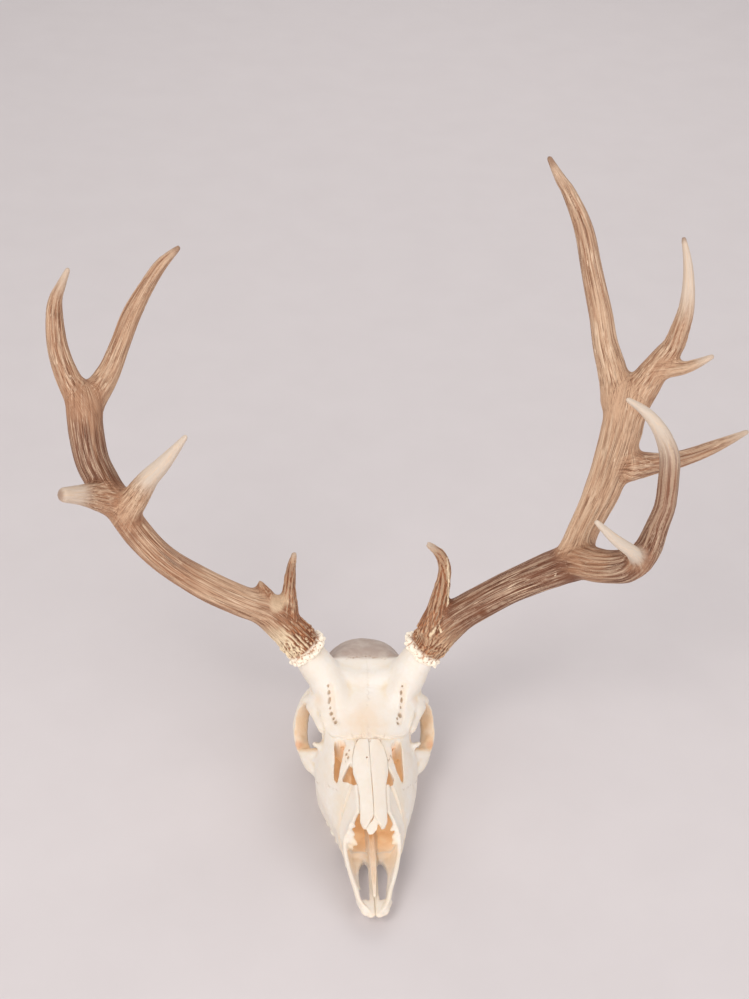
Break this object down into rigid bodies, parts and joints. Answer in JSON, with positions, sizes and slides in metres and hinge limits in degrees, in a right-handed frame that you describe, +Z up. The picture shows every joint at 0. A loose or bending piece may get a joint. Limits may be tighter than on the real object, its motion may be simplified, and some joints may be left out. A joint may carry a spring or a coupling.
{
  "type": "mule deer skull",
  "caption": "Cleaned mule deer buck skull without its lower jaw, with both branching antlers, resting on its cheek teeth and the bony processes at its rear.",
  "frame": {"origin": "centre of the underside of the whole thing's box, on the surface it rests on", "axes": "+X towards the deer's left, +Y towards the back of the skull, +Z up"},
  "size_m": [0.5911, 0.3104, 0.5602],
  "materials": {
    "bone": "dry bleached bone, matt, creamy white with ochre in its hollows",
    "nasal_bone": "dry bleached bone, matt, smooth",
    "premaxilla_bone": "dry bleached bone, matt, warmer towards its edges",
    "tooth_enamel": "worn enamel, low gloss, straw-coloured in its grooves",
    "antler": "weathered antler, brown with pale ridges along the branches, ivory at the tips and burrs"
  },
  "bodies": {
    "root": {"cranium": "bone", "nasal_left": "nasal_bone", "nasal_right": "nasal_bone", "premaxilla_left": "premaxilla_bone", "premaxilla_right": "premaxilla_bone", "premolar_2_left": "tooth_enamel", "premolar_3_left": "tooth_enamel", "premolar_4_left": "tooth_enamel", "molar_1_left": "tooth_enamel", "molar_2_left": "tooth_enamel", "molar_3_left": "tooth_enamel", "premolar_2_right": "tooth_enamel", "premolar_3_right": "tooth_enamel", "premolar_4_right": "tooth_enamel", "molar_1_right": "tooth_enamel", "molar_2_right": "tooth_enamel", "molar_3_right": "tooth_enamel", "right_antler_beam": "antler", "right_brow_tine": "antler", "right_front_tine": "antler", "right_inner_tine": "antler", "right_outer_tine": "antler", "left_antler_beam": "antler", "left_brow_tine": "antler", "left_front_branch": "antler", "left_front_point": "antler", "left_outward_tine": "antler", "left_rear_branch": "antler", "left_tall_tine": "antler", "left_second_tine": "antler"}
  },
  "joints": []
}
